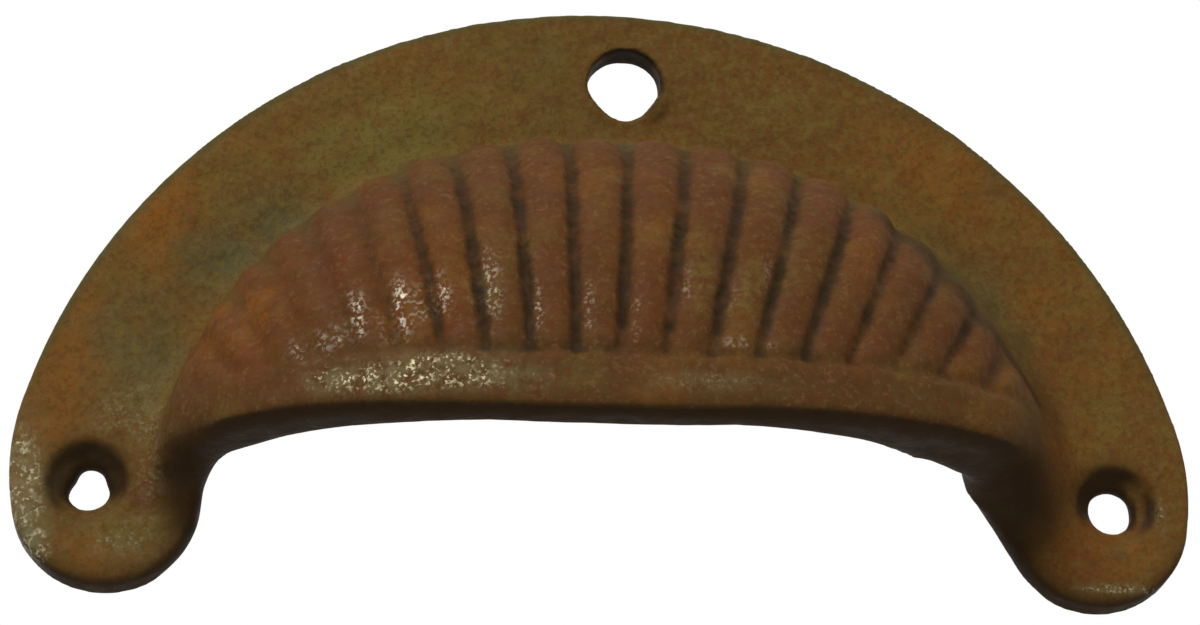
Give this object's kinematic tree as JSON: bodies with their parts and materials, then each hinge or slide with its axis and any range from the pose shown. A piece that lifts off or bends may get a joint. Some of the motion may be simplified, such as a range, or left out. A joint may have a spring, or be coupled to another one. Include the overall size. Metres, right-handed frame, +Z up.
{
  "type": "cup pull",
  "caption": "Arched cup pull: a fan-fluted half cup on a flat back plate with countersunk holes in its round lugs, screwed to a drawer front and pulled from below.",
  "frame": {"origin": "midway between the two lower screw holes, on the back face that lies on the drawer", "axes": "+Z up the drawer front, +X to the right seen from the front, -Y out of the drawer towards the hand"},
  "size_m": [0.0974, 0.0215, 0.0523],
  "materials": {
    "rusty_iron": "rusted and handled, rough cast"
  },
  "bodies": {
    "root": {"cup_pull": "rusty_iron"}
  },
  "joints": []
}
